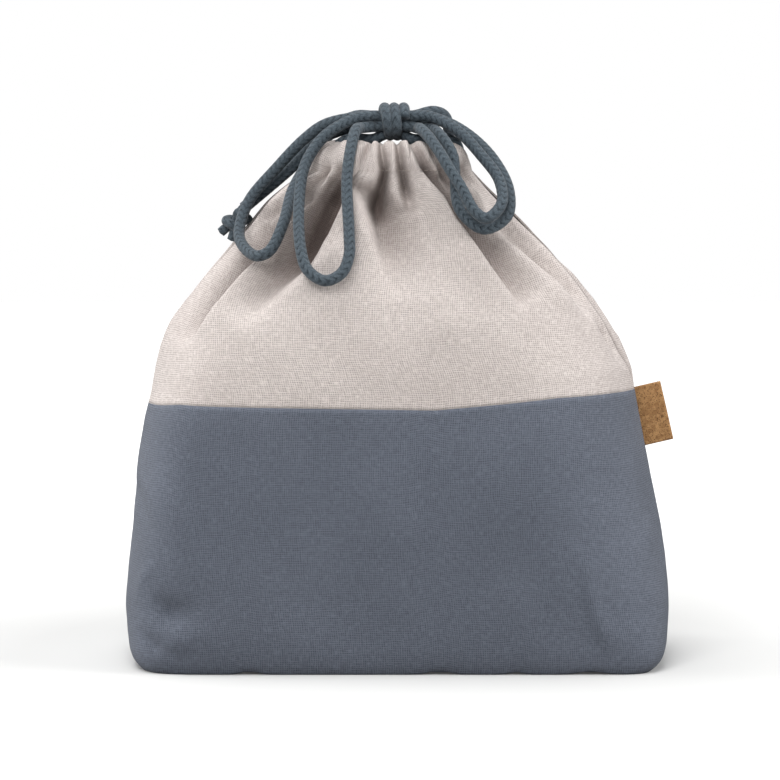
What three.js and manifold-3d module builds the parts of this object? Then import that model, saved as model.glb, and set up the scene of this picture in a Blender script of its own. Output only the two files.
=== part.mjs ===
// Drawstring lunch bag, tied in a bow: a grey-blue lower half, a cream upper half drawn into flutes,
// two cord tunnels round the mouth, two drawstrings, a bow knot with its loops and ends, and a cork label.
// Millimetres, +Z up, origin on the floor under the middle of the base, front towards -Y.
import * as THREE from 'three';
import { mergeVertices } from 'three/addons/utils/BufferGeometryUtils.js';
import Module from 'manifold-3d';

const wasm = await Module();
wasm.setup();

// Cloth and clearances
const clothThickness = 1.0;
const seamGap = 0.3;
const baseClearance = 0.9;

// Outline of the bag: heights, widths and depths of the cloth's middle surface
const baseWidth = 211;
const baseDepth = 100;
const heelHeight = 8;
const heelWidth = 222.5;
const heelDepth = 107.5;
const bellyHeight = 25;
const bellyWidth = 228;
const bellyDepth = 109;
const boxHeight = 60;
const boxWidth = 222;
const boxDepth = 110;
const colourLineHeight = 109;
const colourLineWidth = 202;
const colourLineDepth = 104;
const shoulderHeight = 132;
const shoulderWidth = 193;
const shoulderDepth = 96;
const slopeHeight = 168;
const slopeWidth = 144;
const slopeDepth = 72;
const neckHeight = 186;
const neckWidth = 108;
const neckDepth = 56;

const boxSway = -0.6;
const upperSway = -2.2;
const slopeSway = -1.6;

// Flutes of the gathered cloth at the mouth
const fluteCount = 7;
const fluteDepth = 3.6;
const fluteStartHeight = 178;

// Folds that run down from the mouth: points of across, height, depth, width on the left, width on the right
const foldLines = [
  [
    [9, 200, 2, 5, 6], [18, 190, 9, 5, 7], [28, 180, 11, 5, 9],
    [40, 168, 11, 5, 11], [49, 156, 7, 6, 11], [58, 146, 0, 6, 11],
  ],
  [
    [-8, 200, 2, 5, 6], [-9, 191, 10, 5, 7], [-8, 180, 10, 6, 10],
    [-5, 166, 6, 8, 11], [-2, 148, 0, 10, 12],
  ],
  [
    [-24, 200, 2, 5, 5], [-27, 190, 10, 7, 5], [-32, 180, 13, 8, 6],
    [-41, 168, 11, 8, 7], [-54, 155, 7, 7, 8], [-71, 140, 0, 7, 8],
  ],
  [
    [-41, 192, 3, 5, 5], [-48, 184, 6, 5, 5], [-58, 174, 7, 6, 5],
    [-71, 155, 6, 6, 5], [-83, 139, 3, 6, 5], [-88, 131, 0, 6, 5],
  ],
];

// Cords, their tunnels and the slits where they leave
const cordDiameter = 4.6;
const cordSides = 8;
const cordSpacing = 5.0;
const tunnelWidth = 54;
const tunnelDepth = 34;
const tunnelHeight = 208.3;
const tunnelLean = THREE.MathUtils.degToRad(50);
const tunnelClearance = 0.8;
const tunnelPleatDepth = 1.4;
const slitWidth = 13;
const leadDrop = 7.3;
const leadSpacing = 5.2;
const leadRise = 1.8;
const leadSplay = 0.6;
const leftTurnReach = -1.6;
const rightTurnReach = 4;
const turnRadius = 5.4;
const turnSide = 1.6;
const turnSag = 2;

// Bow knot
const knotX = -1.8;
const knotHeight = 223.2;
const wrapTurns = 2;
const wrapPitch = 5.4;
const wrapHalfDepth = 8.5;
const wrapHalfHeight = 5.6;
const knotClearance = 0.3;
const loopRootX = 8.0;
const loopRowSpacing = 5.0;
const loopColumnSpacing = 5.2;
const coreRecess = 0.6;

// Knots on the cord ends
const endKnotRadius = 2.7;
const endBundleRadius = 2.5;
const endKnotLength = 13;
const endTailLength = 5;
const endTurnPitch = 64;
const endTurnRoll = 24;
const endTailSplay = 16;
const endTailSpread = 2.2;
const endTailOffset = 0.5;
const tailTaper = 0.1;
const leftEndTilt = 34;
const rightEndTilt = 14;

// Cork label in the right side seam
const labelReach = 12.6;
const labelLength = 24.5;
const labelTopHeight = 113;
const labelLeaf = 0.7;
const labelSlot = 0.4;

// Sampling of the curved surfaces
const panelColumns = 34;
const flutedColumns = 56;
const lowerRows = 9;
const heelCrowding = 1.7;
const upperRows = 12;
const tunnelSteps = 35;
const planSamples = 240;
const planHalvings = 40;
const tunnelArcSteps = 4;
const coreSides = 18;
const coreRings = 12;
const endTurnSteps = 16;
const bundleSides = 10;
const labelArcSteps = 6;
const baseSides = 72;
const drawstringSteps = 48;
const ringPoints = 14;
const wrapSteps = 40;
const loopStep = 8;

const halfCloth = clothThickness / 2;
const cordRadius = cordDiameter / 2;

const boreRadius = cordRadius + tunnelClearance;
const tunnelRadius = boreRadius + clothThickness;
const mouthHeight = tunnelHeight - (cordSpacing / 2) * Math.sin(tunnelLean) - tunnelRadius - seamGap;
const mouthSpread = (cordSpacing / 2) * Math.cos(tunnelLean);
const leadHeight = knotHeight - leadDrop;

// Levels of the bag's plan: height, width, depth, sway to the side, then the powers that say how square
// the left corner and the front right corner are and how blunt the side seam is
const levels = [
  [0, baseWidth, baseDepth, 0, 10, 14, 3.2],
  [heelHeight, heelWidth, heelDepth, 0, 10, 12, 2.8],
  [bellyHeight, bellyWidth, bellyDepth, 0, 9.5, 9, 2.2],
  [boxHeight, boxWidth, boxDepth, boxSway, 9.5, 5.6, 1.7],
  [colourLineHeight, colourLineWidth, colourLineDepth, upperSway, 8, 5.2, 1.5],
  [shoulderHeight, shoulderWidth, shoulderDepth, upperSway, 5.6, 4.6, 1.4],
  [slopeHeight, slopeWidth, slopeDepth, slopeSway, 3.2, 3, 1.6],
  [neckHeight, neckWidth, neckDepth, slopeSway, 2.4, 2.4, 1.8],
  [mouthHeight, tunnelWidth + 2 * mouthSpread, tunnelDepth + 2 * mouthSpread, 0, 2, 2, 2],
];
const levelColumns = levels[0].length - 1;
const levelCurve = new THREE.CubicInterpolant(
  levels.map((level) => level[0]),
  levels.flatMap((level) => level.slice(1)),
  levelColumns,
  new Float64Array(levelColumns),
);

// Plan of one half at a height; the back half is drawn as a front and turned half round later
function planAt(height, isFront) {
  const [width, depth, sway, leftPower, rightPower, sidePower] = levelCurve.evaluate(height);
  return {
    centre: isFront ? sway : -sway,
    halfWidth: width / 2,
    halfDepth: depth / 2,
    leftPower,
    rightPower: isFront ? rightPower : leftPower,
    sidePower,
  };
}

// Distance from the axis to the plan outline in one direction, found by halving
function planRadius(plan, angle) {
  const across = Math.abs(Math.cos(angle)) / plan.halfWidth;
  const along = Math.abs(Math.sin(angle)) / plan.halfDepth;
  const cornerPower = Math.cos(angle) > 0 ? plan.rightPower : plan.leftPower;
  let low = 0;
  let high = plan.halfWidth + plan.halfDepth;
  for (let step = 0; step < planHalvings; step += 1) {
    const middle = (low + high) / 2;
    const reach = (middle * across) ** cornerPower + (middle * along) ** plan.sidePower;
    if (reach > 1) high = middle;
    else low = middle;
  }
  return low;
}

// Front half of one level as points spread evenly from the left seam to the right seam
function frontOutline(plan, columns) {
  const dense = [];
  for (let i = 0; i <= planSamples; i += 1) {
    const angle = Math.PI + (Math.PI * i) / planSamples;
    const radius = planRadius(plan, angle);
    dense.push(new THREE.Vector2(plan.centre + radius * Math.cos(angle), radius * Math.sin(angle)));
  }
  const lengths = [0];
  for (let i = 1; i < dense.length; i += 1) {
    lengths.push(lengths[i - 1] + dense[i].distanceTo(dense[i - 1]));
  }
  const total = lengths[lengths.length - 1];
  const outline = [];
  let k = 1;
  for (let column = 0; column <= columns; column += 1) {
    const target = (total * column) / columns;
    while (k < dense.length - 1 && lengths[k] < target) k += 1;
    const part = (target - lengths[k - 1]) / (lengths[k] - lengths[k - 1]);
    outline.push(dense[k - 1].clone().lerp(dense[k], part));
  }
  return outline;
}

// Middle surface of half the cloth between two heights, with its flutes: crowding gathers rows at the foot
function halfSurface(isFront, bottom, top, rows, columns, crowding) {
  const grid = [];
  for (let row = 0; row <= rows; row += 1) {
    const height = bottom + (top - bottom) * (row / rows) ** crowding;
    const outline = frontOutline(planAt(height, isFront), columns);
    const gather = THREE.MathUtils.smoothstep(height, fluteStartHeight, mouthHeight) * (fluteDepth / 2);
    grid.push(outline.map((point, column) => {
      const before = outline[Math.max(column - 1, 0)];
      const after = outline[Math.min(column + 1, columns)];
      const outward = new THREE.Vector2(after.y - before.y, before.x - after.x).normalize();
      const edge = column === 0 || column === columns;
      if (edge) outward.set(Math.sign(point.x), 0);
      const wave = gather * Math.cos((2 * Math.PI * fluteCount * column) / columns);
      const moved = point.clone().addScaledVector(outward, wave);
      return new THREE.Vector3(moved.x, edge ? -seamGap / 2 : moved.y, height);
    }));
  }
  return grid;
}

// Outward direction of a grid at one of its points, kept level at the rims and square to the seams
function gridNormal(grid, row, column) {
  const rows = grid.length - 1;
  const columns = grid[0].length - 1;
  const right = grid[row][Math.min(column + 1, columns)].clone();
  right.sub(grid[row][Math.max(column - 1, 0)]);
  const up = grid[Math.min(row + 1, rows)][column].clone();
  up.sub(grid[Math.max(row - 1, 0)][column]);
  const normal = right.cross(up);
  if (column === 0 || column === columns) normal.y = 0;
  if (row === 0 || row === rows) normal.z = 0;
  return normal.normalize();
}

// Depth of one fold at a place: a groove along the line, with its own width on either side
function grooveDepth(line, across, height) {
  let nearest = Infinity;
  let groove = 0;
  for (let i = 1; i < line.length; i += 1) {
    const [fromX, fromZ, fromDepth, fromLeft, fromRight] = line[i - 1];
    const [toX, toZ, toDepth, toLeft, toRight] = line[i];
    const stepX = toX - fromX;
    const stepZ = toZ - fromZ;
    const along = (across - fromX) * stepX + (height - fromZ) * stepZ;
    const part = THREE.MathUtils.clamp(along / (stepX * stepX + stepZ * stepZ), 0, 1);
    const offX = across - fromX - part * stepX;
    const offZ = height - fromZ - part * stepZ;
    const away = Math.hypot(offX, offZ);
    if (away < nearest) {
      const isRight = offZ * stepX > offX * stepZ;
      const width = isRight
        ? THREE.MathUtils.lerp(fromRight, toRight, part)
        : THREE.MathUtils.lerp(fromLeft, toLeft, part);
      nearest = away;
      groove = THREE.MathUtils.lerp(fromDepth, toDepth, part) * Math.exp(-((away / width) ** 2));
    }
  }
  return groove;
}

// The surface with its folds sunk in, its four edges left where they are
function foldedSurface(grid) {
  const rows = grid.length - 1;
  const columns = grid[0].length - 1;
  return grid.map((line, row) => line.map((point, column) => {
    if (row === 0 || row === rows || column === 0 || column === columns) return point;
    const depth = foldLines.reduce((sum, fold) => sum + grooveDepth(fold, point.x, point.z), 0);
    return point.clone().addScaledVector(gridNormal(grid, row, column), -depth);
  }));
}

// Closed geometry from a flat list of points and triangles
function closedGeometry(points, triangles) {
  const geometry = new THREE.BufferGeometry();
  const positions = points.flatMap((point) => [point.x, point.y, point.z]);
  geometry.setAttribute('position', new THREE.Float32BufferAttribute(positions, 3));
  geometry.setIndex(triangles);
  geometry.computeVertexNormals();
  return geometry;
}

// Cloth of even thickness about a grid of middle points, closed round its four edges
function clothSheet(grid) {
  const rows = grid.length - 1;
  const columns = grid[0].length - 1;
  const outer = [];
  const inner = [];
  for (let row = 0; row <= rows; row += 1) {
    for (let column = 0; column <= columns; column += 1) {
      const normal = gridNormal(grid, row, column);
      outer.push(grid[row][column].clone().addScaledVector(normal, halfCloth));
      inner.push(grid[row][column].clone().addScaledVector(normal, -halfCloth));
    }
  }
  const triangles = [];
  const across = columns + 1;
  const count = outer.length;
  const quad = (a, b, c, d) => triangles.push(a, b, c, a, c, d);
  for (let row = 0; row < rows; row += 1) {
    for (let column = 0; column < columns; column += 1) {
      const a = row * across + column;
      quad(a, a + 1, a + across + 1, a + across);
      quad(count + a, count + a + across, count + a + across + 1, count + a + 1);
    }
  }
  for (let column = 0; column < columns; column += 1) {
    const top = rows * across + column;
    quad(column, count + column, count + column + 1, column + 1);
    quad(top, top + 1, count + top + 1, count + top);
  }
  for (let row = 0; row < rows; row += 1) {
    const left = row * across;
    const right = left + columns;
    quad(left, left + across, count + left + across, count + left);
    quad(right, count + right, count + right + across, right + across);
  }
  return closedGeometry([...outer, ...inner], triangles);
}

// Half of the cord tunnel: a stadium-shaped bore in a pleated cloth wall, swept round the mouth
function tunnelSection(radius) {
  const section = [];
  for (let end = 0; end < 2; end += 1) {
    for (let i = 0; i <= tunnelArcSteps; i += 1) {
      const angle = -Math.PI / 2 + (Math.PI * i) / tunnelArcSteps + Math.PI * end;
      const centre = (end === 0 ? cordSpacing : -cordSpacing) / 2;
      section.push([centre + radius * Math.cos(angle), radius * Math.sin(angle)]);
    }
  }
  return section;
}

function ringFrame(angle) {
  const centre = new THREE.Vector3(
    (tunnelWidth / 2) * Math.cos(angle),
    (tunnelDepth / 2) * Math.sin(angle),
    tunnelHeight,
  );
  const outward = new THREE.Vector3(
    Math.cos(angle) / tunnelWidth,
    Math.sin(angle) / tunnelDepth,
    0,
  ).normalize();
  const up = new THREE.Vector3(0, 0, 1);
  const inUp = outward.clone().multiplyScalar(-Math.cos(tunnelLean));
  inUp.addScaledVector(up, Math.sin(tunnelLean));
  const outUp = outward.clone().multiplyScalar(Math.sin(tunnelLean));
  outUp.addScaledVector(up, Math.cos(tunnelLean));
  return { centre, inUp, outUp };
}

function frontTunnel() {
  const slitAngle = Math.asin(slitWidth / tunnelDepth);
  const bore = tunnelSection(boreRadius);
  const wall = tunnelSection(tunnelRadius);
  const sides = bore.length;
  const points = [];
  for (let step = 0; step <= tunnelSteps; step += 1) {
    const part = step / tunnelSteps;
    const angle = Math.PI + slitAngle + (Math.PI - 2 * slitAngle) * part;
    const frame = ringFrame(angle);
    const pleat = tunnelPleatDepth * (0.5 - 0.5 * Math.cos(2 * Math.PI * fluteCount * part));
    wall.forEach(([along, across]) => {
      const swell = across > boreRadius / 2 ? pleat : 0;
      const point = frame.centre.clone().addScaledVector(frame.inUp, along);
      points.push(point.addScaledVector(frame.outUp, across + swell));
    });
    bore.forEach(([along, across]) => {
      const point = frame.centre.clone().addScaledVector(frame.inUp, along);
      points.push(point.addScaledVector(frame.outUp, across));
    });
  }
  const triangles = [];
  const quad = (a, b, c, d) => triangles.push(a, b, c, a, c, d);
  const ring = 2 * sides;
  for (let step = 0; step < tunnelSteps; step += 1) {
    for (let side = 0; side < sides; side += 1) {
      const next = (side + 1) % sides;
      const here = step * ring;
      const there = here + ring;
      quad(here + side, here + next, there + next, there + side);
      quad(here + sides + side, there + sides + side, there + sides + next, here + sides + next);
    }
  }
  const last = tunnelSteps * ring;
  for (let side = 0; side < sides; side += 1) {
    const next = (side + 1) % sides;
    quad(side, sides + side, sides + next, next);
    quad(last + side, last + next, last + sides + next, last + sides + side);
  }
  return closedGeometry(points, triangles);
}

// Cord: a round section along a curve
function cordAlong(curve, steps) {
  const section = new THREE.Shape();
  section.absarc(0, 0, cordRadius, 0, 2 * Math.PI);
  return new THREE.ExtrudeGeometry(section, {
    steps,
    curveSegments: cordSides / 2,
    extrudePath: curve,
    bevelEnabled: false,
  });
}

function routeOf(points) {
  const places = points.map((point) => new THREE.Vector3(...point));
  return new THREE.CatmullRomCurve3(places, false, 'centripetal');
}

// Drawstring: most of a turn round the mouth, with both ends turned up through one slit to the knot
function drawstringRoute(side, offset) {
  const slitAngle = Math.asin(slitWidth / tunnelDepth);
  const middle = side < 0 ? 0 : Math.PI;
  const ring = [];
  for (let i = 0; i <= ringPoints; i += 1) {
    const sweep = (Math.PI - slitAngle) * (2 * (i / ringPoints) - 1);
    const frame = ringFrame(middle + sweep);
    ring.push(frame.centre.addScaledVector(frame.inUp, offset));
  }
  const turnX = tunnelWidth / 2 + (side < 0 ? leftTurnReach : rightTurnReach);
  const apart = leadSpacing / 2;
  const lead = (end, way) => [
    new THREE.Vector3(side * turnX, way * (apart + leadSplay), end.z + leadRise),
    new THREE.Vector3(side * (turnX - turnSide), way * apart, leadHeight - turnSag),
    new THREE.Vector3(side * (turnX - turnRadius), way * apart, leadHeight),
    new THREE.Vector3(knotX + side * loopRootX, way * apart, leadHeight),
  ];
  const first = ring[0];
  const last = ring[ring.length - 1];
  const before = lead(first, Math.sign(first.y)).reverse();
  const after = lead(last, Math.sign(last.y));
  return new THREE.CatmullRomCurve3([...before, ...ring, ...after], false, 'centripetal');
}

// Knot wrap: two turns of cord round the gripped bundle
class WrapCurve extends THREE.Curve {
  getPoint(part, target = new THREE.Vector3()) {
    const angle = 2 * Math.PI * wrapTurns * part - Math.PI / 2;
    const along = wrapPitch * wrapTurns * (part - 0.5);
    return target.set(
      knotX + along,
      wrapHalfDepth * Math.cos(angle),
      knotHeight + wrapHalfHeight * Math.sin(angle),
    );
  }
}

// Least gap between one turn of the wrap and the next
function leastWrapGap() {
  const points = new WrapCurve().getPoints(planSamples);
  const apart = Math.round(planSamples / wrapTurns / 2);
  let least = Infinity;
  for (let i = 0; i < points.length; i += 1) {
    for (let k = i + apart; k < points.length; k += 1) {
      least = Math.min(least, points[i].distanceTo(points[k]));
    }
  }
  return least - cordDiameter;
}

// Knot core: the strands that the wrap grips, as one swollen bundle
function knotCore() {
  const halfLength = loopRootX - knotClearance - coreRecess;
  const core = new THREE.SphereGeometry(1, coreSides, coreRings);
  core.rotateZ(Math.PI / 2);
  core.scale(
    halfLength,
    wrapHalfDepth - cordRadius - knotClearance,
    wrapHalfHeight - cordRadius - knotClearance,
  );
  return core;
}

// Joined solids: each closed geometry becomes a solid, and the union comes back as one geometry
function solidOf(geometry) {
  const plain = geometry.clone();
  plain.deleteAttribute('normal');
  plain.deleteAttribute('uv');
  const merged = mergeVertices(plain, 1e-4);
  return new wasm.Manifold(new wasm.Mesh({
    numProp: 3,
    vertProperties: new Float32Array(merged.attributes.position.array),
    triVerts: new Uint32Array(merged.index.array),
  }));
}

function joined(geometries) {
  const solids = geometries.map(solidOf);
  const mesh = solids.slice(1).reduce((sum, solid) => sum.add(solid), solids[0]).getMesh();
  const geometry = new THREE.BufferGeometry();
  geometry.setAttribute('position', new THREE.Float32BufferAttribute(mesh.vertProperties, 3));
  geometry.setIndex(Array.from(mesh.triVerts));
  geometry.computeVertexNormals();
  return geometry;
}

// Overhand knot of a cord end: a tilted turn over the two ends, with both tails showing below it
function endKnot() {
  const turn = new THREE.TorusGeometry(endKnotRadius, cordRadius, cordSides, endTurnSteps);
  turn.rotateX(THREE.MathUtils.degToRad(endTurnPitch));
  turn.rotateY(THREE.MathUtils.degToRad(endTurnRoll));
  const bundle = new THREE.CapsuleGeometry(endBundleRadius, endKnotLength / 2, tunnelArcSteps, bundleSides);
  bundle.rotateX(Math.PI / 2);
  const tails = [-1, 1].map((way) => {
    const tail = new THREE.CylinderGeometry(
      cordRadius - tailTaper,
      cordRadius + tailTaper,
      endTailLength,
      cordSides,
    );
    tail.rotateX(Math.PI / 2);
    tail.rotateY(way * THREE.MathUtils.degToRad(endTailSplay));
    const tailHeight = endTailSpread - (endKnotLength + endTailLength) / 2;
    tail.translate(-way * endTailSpread, way * endTailOffset, tailHeight);
    return tail;
  });
  return joined([turn, bundle, ...tails]);
}

// Cork label: a strip folded back on itself, rounded at the fold and at the sewn edge
function corkLabel() {
  const half = labelLeaf + labelSlot / 2;
  const reach = labelReach - half;
  const strip = new THREE.Shape();
  strip.absarc(reach - half, 0, half, -Math.PI / 2, Math.PI / 2);
  strip.absarc(0, 0, half, Math.PI / 2, 1.5 * Math.PI);
  const slot = new THREE.Path();
  slot.absarc(0, 0, labelSlot / 2, 1.5 * Math.PI, Math.PI / 2, true);
  slot.absarc(reach - half, 0, labelSlot / 2, Math.PI / 2, -Math.PI / 2, true);
  strip.holes.push(slot);
  return new THREE.ExtrudeGeometry(strip, {
    depth: labelLength,
    bevelEnabled: false,
    curveSegments: labelArcSteps,
  });
}

// Base: the floor of the bag, inside the foot of the side cloth
function basePanel() {
  const halves = [planAt(0, false), planAt(0, true)];
  const inset = halfCloth + baseClearance;
  const disc = new THREE.CylinderGeometry(1, 1, clothThickness, baseSides);
  disc.rotateX(Math.PI / 2);
  disc.translate(0, 0, halfCloth);
  const places = disc.attributes.position;
  for (let i = 0; i < places.count; i += 1) {
    const rim = Math.hypot(places.getX(i), places.getY(i)) > 0.5;
    const angle = Math.atan2(places.getY(i), places.getX(i));
    const plan = halves[places.getY(i) < 0 ? 1 : 0];
    const radius = rim ? planRadius(plan, angle) : 0;
    places.setX(i, radius * Math.cos(angle) * (1 - inset / plan.halfWidth));
    places.setY(i, radius * Math.sin(angle) * (1 - inset / plan.halfDepth));
  }
  return disc;
}

// Routes of the loops and ends, as they lie in the bow: rows and columns of strands at the knot
const leftRoot = knotX - loopRootX;
const rightRoot = knotX + loopRootX;
const upperRow = knotHeight + loopRowSpacing / 2;
const lowerRow = knotHeight - loopRowSpacing / 2;
const frontColumn = -loopColumnSpacing;
const rearColumn = loopColumnSpacing;
const routes = {
  left_front_loop: [
    [leftRoot, frontColumn, lowerRow],
    [-15, -8, 220.5],
    [-17, -15, 219.5],
    [-19, -22.5, 212],
    [-20.5, -29, 199],
    [-19.5, -38.5, 177.5],
    [-19.5, -42, 169],
    [-22.5, -44.5, 162],
    [-29, -45.5, 159],
    [-36, -43, 163],
    [-39, -39, 171],
    [-40, -26.5, 191],
    [-37.5, -16.5, 206],
    [-29.5, -10, 217.5],
    [-17, -5.5, 224.5],
    [leftRoot, frontColumn, upperRow],
  ],
  left_rear_loop: [
    [leftRoot, 0, upperRow],
    [-17, 0, 225],
    [-30, 0, 222],
    [-38.5, 0, 216],
    [-50.5, -1.5, 203.5],
    [-61, -5.5, 191],
    [-65, -13, 179.5],
    [-64, -20.5, 173.5],
    [-57, -31.5, 168.5],
    [-52, -33, 170.5],
    [-46.5, -28, 181.5],
    [-43, -15, 195],
    [-35.5, -4, 208],
    [-26.5, -0.5, 219],
    [-20, 0, 221],
    [leftRoot, 0, lowerRow],
  ],
  left_end_front: [
    [leftRoot, rearColumn, lowerRow],
    [-17.5, 5.2, 221],
    [-31.5, 6, 216],
    [-44, 4, 204],
    [-62, 2.4, 189.5],
  ],
  left_end_rear: [
    [leftRoot, rearColumn, upperRow],
    [-17.5, 7, 225.5],
    [-31.5, 11.5, 218],
    [-44, 9.5, 205.5],
    [-62, 7.6, 190],
  ],
  right_front_loop: [
    [rightRoot, frontColumn, lowerRow],
    [8.2, -6, 220.5],
    [9.6, -12.5, 220],
    [13, -20.5, 216.5],
    [17.5, -27, 210],
    [21, -31, 204],
    [25.5, -34.5, 197],
    [31.5, -38.5, 186.5],
    [36, -39.5, 184],
    [42, -36, 189.5],
    [41.5, -28.5, 199],
    [34.5, -21, 209],
    [24.5, -13, 219.5],
    [13.5, -7, 225.2],
    [rightRoot, frontColumn, upperRow],
  ],
  right_rear_loop: [
    [rightRoot, 0, lowerRow],
    [8.7, 0, 221.3],
    [13.7, -6, 220.4],
    [18, -16.5, 217],
    [22.5, -22.5, 209.5],
    [23.5, -25, 200.5],
    [25.5, -31.5, 187],
    [35, -34.5, 179.5],
    [44.5, -30, 184.5],
    [45.5, -23.5, 195],
    [39.5, -15, 207.5],
    [29, -6.5, 218],
    [17.5, -1.5, 224],
    [rightRoot, 0, upperRow],
  ],
  right_end_upper: [
    [rightRoot, rearColumn, upperRow],
    [8.5, 5.5, 226],
    [15, 7, 227.5],
    [20, 11, 225.5],
    [22, 18, 216],
    [22.5, 24, 204.5],
  ],
  right_end_lower: [
    [rightRoot, rearColumn, lowerRow],
    [8.5, 6, 222],
    [14, 12, 222.5],
    [16, 17.5, 219.5],
    [18.3, 26, 209.3],
    [19.3, 29.2, 205],
  ],
};
const leftEndKnotPlace = [-66.8, 5, 185.5];
const rightEndKnotPlace = [22.5, 27.7, 198.9];

// Materials
const creamCotton = new THREE.MeshStandardMaterial({ color: '#d5cdc8', roughness: 0.95, metalness: 0 });
const greyBlueCotton = new THREE.MeshStandardMaterial({ color: '#656a76', roughness: 0.95, metalness: 0 });
const braidedCord = new THREE.MeshStandardMaterial({ color: '#60696f', roughness: 0.9, metalness: 0 });
const cork = new THREE.MeshStandardMaterial({ color: '#8a6844', roughness: 0.85, metalness: 0 });

const bag = new THREE.Group();

function place(name, geometry, material, parent = bag) {
  const mesh = new THREE.Mesh(geometry, material);
  mesh.name = name;
  parent.add(mesh);
  return mesh;
}

// Cloth panels and tunnels: each half is drawn as a front, and the back ones are turned half round
const lowerTop = colourLineHeight - seamGap / 2;
const upperFoot = colourLineHeight + seamGap / 2;
const lowerPanel = (isFront) => clothSheet(
  halfSurface(isFront, 0, lowerTop, lowerRows, panelColumns, heelCrowding),
);
const upperPanel = (isFront) => clothSheet(foldedSurface(
  halfSurface(isFront, upperFoot, mouthHeight, upperRows, flutedColumns, 1),
));
const tunnel = frontTunnel();
place('base_panel', basePanel(), greyBlueCotton);
place('front_lower_panel', lowerPanel(true), greyBlueCotton);
place('back_lower_panel', lowerPanel(false), greyBlueCotton).rotation.z = Math.PI;
place('front_upper_panel', upperPanel(true), creamCotton);
place('back_upper_panel', upperPanel(false), creamCotton).rotation.z = Math.PI;
place('front_casing', tunnel, creamCotton);
place('back_casing', tunnel, creamCotton).rotation.z = Math.PI;

// Drawstrings, knot, loops and ends
place('left_drawstring', cordAlong(drawstringRoute(-1, cordSpacing / 2), drawstringSteps), braidedCord);
place('right_drawstring', cordAlong(drawstringRoute(1, -cordSpacing / 2), drawstringSteps), braidedCord);
place('knot_core', knotCore(), braidedCord).position.set(knotX, 0, knotHeight);
place('knot_wrap', cordAlong(new WrapCurve(), wrapSteps), braidedCord);
console.log(`knot_wrap least gap to itself: ${leastWrapGap().toFixed(2)} mm`);
Object.entries(routes).forEach(([name, points]) => {
  const route = routeOf(points);
  place(name, cordAlong(route, Math.ceil(route.getLength() / loopStep)), braidedCord);
});
const leftEndKnot = place('left_end_knot', endKnot(), braidedCord);
leftEndKnot.position.set(...leftEndKnotPlace);
leftEndKnot.rotation.y = THREE.MathUtils.degToRad(leftEndTilt);
const rightEndKnot = place('right_end_knot', endKnot(), braidedCord);
rightEndKnot.position.set(...rightEndKnotPlace);
rightEndKnot.rotation.x = THREE.MathUtils.degToRad(rightEndTilt);

// Cork label along the slanted seam, just outside the cloth
function rightSeamAt(height) {
  const plan = planAt(height, true);
  return new THREE.Vector3(plan.centre + plan.halfWidth, 0, height);
}
const labelFoot = rightSeamAt(labelTopHeight - labelLength);
const labelHead = rightSeamAt(labelTopHeight);
const seamLean = Math.atan2(labelFoot.x - labelHead.x, labelHead.z - labelFoot.z);
const label = place('cork_label', corkLabel(), cork);
const labelOffset = halfCloth + seamGap + labelLeaf + labelSlot / 2;
label.position.copy(labelFoot);
label.position.x += labelOffset * Math.cos(seamLean);
label.position.z += labelOffset * Math.sin(seamLean);
label.rotation.y = -seamLean;

export default bag;
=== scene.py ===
import math
import bpy
import numpy as np
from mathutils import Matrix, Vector, noise
from numpy.linalg import norm


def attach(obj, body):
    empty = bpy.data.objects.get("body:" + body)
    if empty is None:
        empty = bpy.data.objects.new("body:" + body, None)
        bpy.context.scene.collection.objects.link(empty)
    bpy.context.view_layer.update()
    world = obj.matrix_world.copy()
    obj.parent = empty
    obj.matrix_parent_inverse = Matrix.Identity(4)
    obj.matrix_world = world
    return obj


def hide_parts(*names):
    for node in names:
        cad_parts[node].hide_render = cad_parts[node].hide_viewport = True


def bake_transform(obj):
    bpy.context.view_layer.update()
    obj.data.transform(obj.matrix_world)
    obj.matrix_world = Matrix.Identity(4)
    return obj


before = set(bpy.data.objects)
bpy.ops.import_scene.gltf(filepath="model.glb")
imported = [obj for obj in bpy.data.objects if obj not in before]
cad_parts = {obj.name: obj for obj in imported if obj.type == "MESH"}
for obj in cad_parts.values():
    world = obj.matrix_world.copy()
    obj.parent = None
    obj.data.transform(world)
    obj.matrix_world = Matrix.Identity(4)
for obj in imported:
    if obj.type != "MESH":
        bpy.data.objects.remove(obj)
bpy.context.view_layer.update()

mm = 0.001
scene = bpy.context.scene

# camera: a long lens, level with the mouth and looking slightly down
cameraPlace = {
    "lens": 144.0, "sensor": 36.0, "place": (-3.0, -1300.0, 212.0), "pitchDown": 4.4247, "seesTo": 50.0,
}
cameraData = bpy.data.cameras.new("camera")
cameraData.lens = cameraPlace["lens"]
cameraData.sensor_width = cameraPlace["sensor"]
cameraData.clip_end = cameraPlace["seesTo"]
camera = bpy.data.objects.new("camera", cameraData)
camera.location = Vector(cameraPlace["place"]) * mm
camera.rotation_euler = (math.radians(90.0 - cameraPlace["pitchDown"]), 0.0, 0.0)
scene.collection.objects.link(camera)
scene.camera = camera
print("camera placed")


def hexColour(code):  # sRGB hex to the linear values that shaders take
    parts = [int(code[i:i + 2], 16) / 255.0 for i in (1, 3, 5)]
    return tuple(c / 12.92 if c <= 0.04045 else ((c + 0.055) / 1.055) ** 2.4 for c in parts) + (1.0,)


def plug(tree, node, links):  # links into a node; a source node stands for its first output
    for key, source in links.items():
        tree.links.new(getattr(source, "outputs", [source])[0], node.inputs[key])


def addNode(tree, kind, links=None, values=None, settings=None):  # a node, its links, numbers and settings
    kind, _, operation = kind.partition(" ")
    node = tree.nodes.new("ShaderNode" + kind)
    if operation:
        node.operation = operation
    for name, value in (settings or {}).items():
        setattr(node, name, value)
    for key, value in (values or {}).items():
        node.inputs[key].default_value = value
    plug(tree, node, links or {})
    return node


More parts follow.
